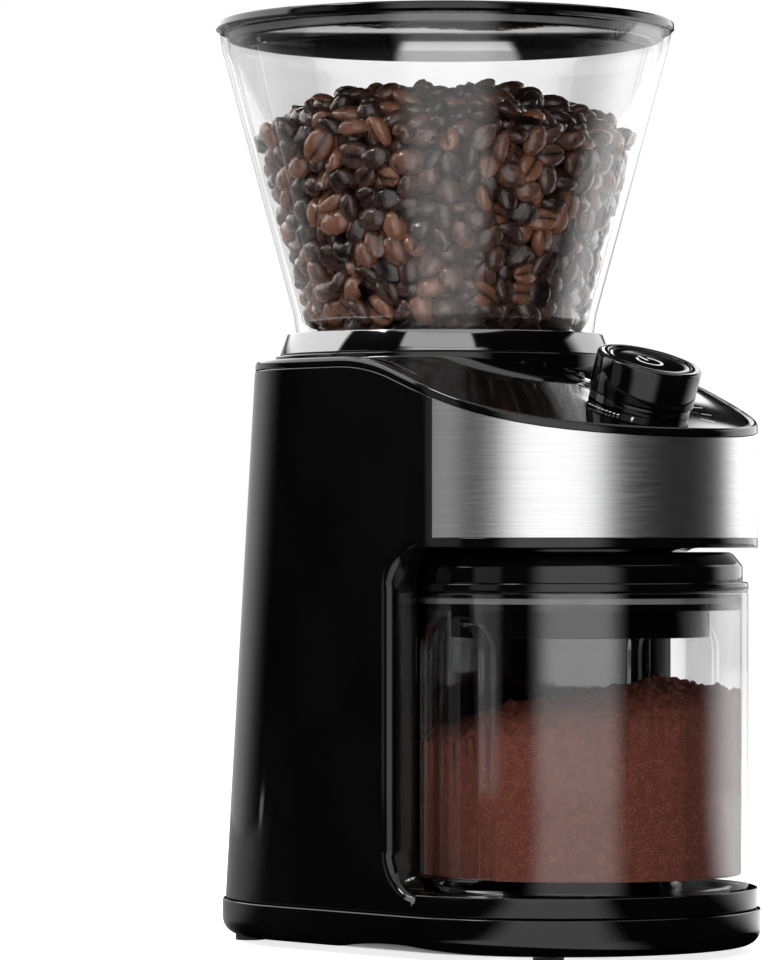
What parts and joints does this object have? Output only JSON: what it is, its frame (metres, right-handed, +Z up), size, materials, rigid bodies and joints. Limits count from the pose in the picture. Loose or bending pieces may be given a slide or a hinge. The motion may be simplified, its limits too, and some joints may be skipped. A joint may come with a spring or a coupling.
{
  "type": "burr coffee grinder",
  "caption": "Conical burr coffee grinder with a clear bean hopper, turning grind collar, steel band, timer knob with power button, and a clear grounds container in a front bay.",
  "frame": {"origin": "on the table plane, under the middle of the machine's overall box", "axes": "+Z up; -Y is the front, with the container, the steel band and the knob; +X is to the right of someone who looks at the back"},
  "size_m": [0.1388, 0.1814, 0.278],
  "materials": {
    "black_gloss": "polished moulded plastic",
    "black_matte": "fine moulded texture",
    "clear_plastic": "clear polished plastic",
    "brushed_band": "brushed along its length",
    "burr_steel": "hardened and ground",
    "screw_steel": "plain turned steel",
    "motor_steel": "zinc plated",
    "laminations": "stacked steel sheet",
    "ferrite": "sintered",
    "brass": "turned",
    "white_nylon": "moulded nylon",
    "circuit_board": "lacquered board",
    "rubber": "moulded rubber",
    "seal_rubber": "soft silicone"
  },
  "bodies": {
    "stand": {"feet": "rubber", "base_cover": "black_gloss", "base_screws": "screw_steel", "main_housing": "black_gloss", "steel_band": "brushed_band", "top_cover": "black_gloss", "cover_screws": "screw_steel", "scale_ring": "black_gloss", "idler_pin": "screw_steel", "motor_can": "motor_steel", "motor_magnets": "ferrite", "brush_card": "black_matte", "motor_screws": "screw_steel", "gearbox_plate": "black_matte", "gearbox_case": "black_matte", "gearbox_screws": "screw_steel", "lower_bush": "brass", "upper_bush": "brass", "grinding_chamber": "black_matte", "grounds_chute": "black_matte", "container_switch": "black_matte", "control_board": "circuit_board", "timer_dial_switch": "black_matte", "driver_board": "circuit_board", "knob_plinth": "black_gloss", "cord_inlet": "rubber"},
    "grind_ring": {"grind_collar": "black_gloss", "adjust_sleeve": "black_matte"},
    "hopper": {"bean_hopper": "clear_plastic"},
    "lid": {"hopper_lid": "black_gloss", "lid_seal": "seal_rubber"},
    "burr_lift": {"burr_carrier": "black_matte", "ring_burr": "burr_steel", "burr_screws": "screw_steel"},
    "burr_drive": {"cone_burr": "burr_steel", "burr_nut": "screw_steel", "sweeper": "black_matte", "burr_shaft": "screw_steel", "drive_gear": "white_nylon"},
    "idler": {"idler_gear": "white_nylon"},
    "rotor": {"motor_shaft": "screw_steel", "motor_pinion": "brass", "armature": "laminations", "cooling_fan": "white_nylon"},
    "knob": {"selector_knob": "black_gloss"},
    "button": {"power_button": "black_gloss"},
    "container": {"grounds_container": "clear_plastic", "container_lid": "black_gloss", "container_seal": "seal_rubber"}
  },
  "joints": [
    {"name": "grind_set", "type": "hinge", "parent": "stand", "child": "grind_ring", "pos_m": [0, 0.01927, 0.18], "axis": [0, 0, 1], "range_deg": [0, 90]},
    {"name": "burr_rise", "type": "slide", "parent": "grind_ring", "child": "burr_lift", "axis": [0, 0, 1], "range_m": [0, 0.00151]},
    {"name": "hopper_lift", "type": "slide", "parent": "grind_ring", "child": "hopper", "axis": [0, 0, 1], "range_m": [0, 0.12]},
    {"name": "lid_lift", "type": "slide", "parent": "hopper", "child": "lid", "axis": [0, 0, 1], "range_m": [0, 0.08]},
    {"name": "motor_spin", "type": "hinge", "parent": "stand", "child": "rotor", "pos_m": [0, 0.04127, 0.08], "axis": [0, 0, 1], "continuous": true},
    {"name": "idler_spin", "type": "hinge", "parent": "stand", "child": "idler", "pos_m": [0.01931, 0.03353, 0.13], "axis": [0, 0, 1], "continuous": true},
    {"name": "burr_spin", "type": "hinge", "parent": "stand", "child": "burr_drive", "pos_m": [0, 0.01927, 0.14], "axis": [0, 0, 1], "continuous": true},
    {"name": "knob_turn", "type": "hinge", "parent": "stand", "child": "knob", "pos_m": [0, -0.06513, 0.16072], "axis": [0, 0.3338, -0.9426], "range_deg": [0, 270]},
    {"name": "button_press", "type": "slide", "parent": "stand", "child": "button", "axis": [0, 0.3338, -0.9426], "range_m": [0, 0.0012], "stiffness_N_per_m": 500},
    {"name": "container_out", "type": "slide", "parent": "stand", "child": "container", "axis": [0, -1, 0], "range_m": [0, 0.12]}
  ],
  "couplings": [
    {"joint": "burr_rise", "follows": "grind_set", "m_per_rad": 0.00095493},
    {"joint": "idler_spin", "follows": "motor_spin", "ratio": -0.3},
    {"joint": "burr_spin", "follows": "motor_spin", "ratio": 0.1}
  ]
}
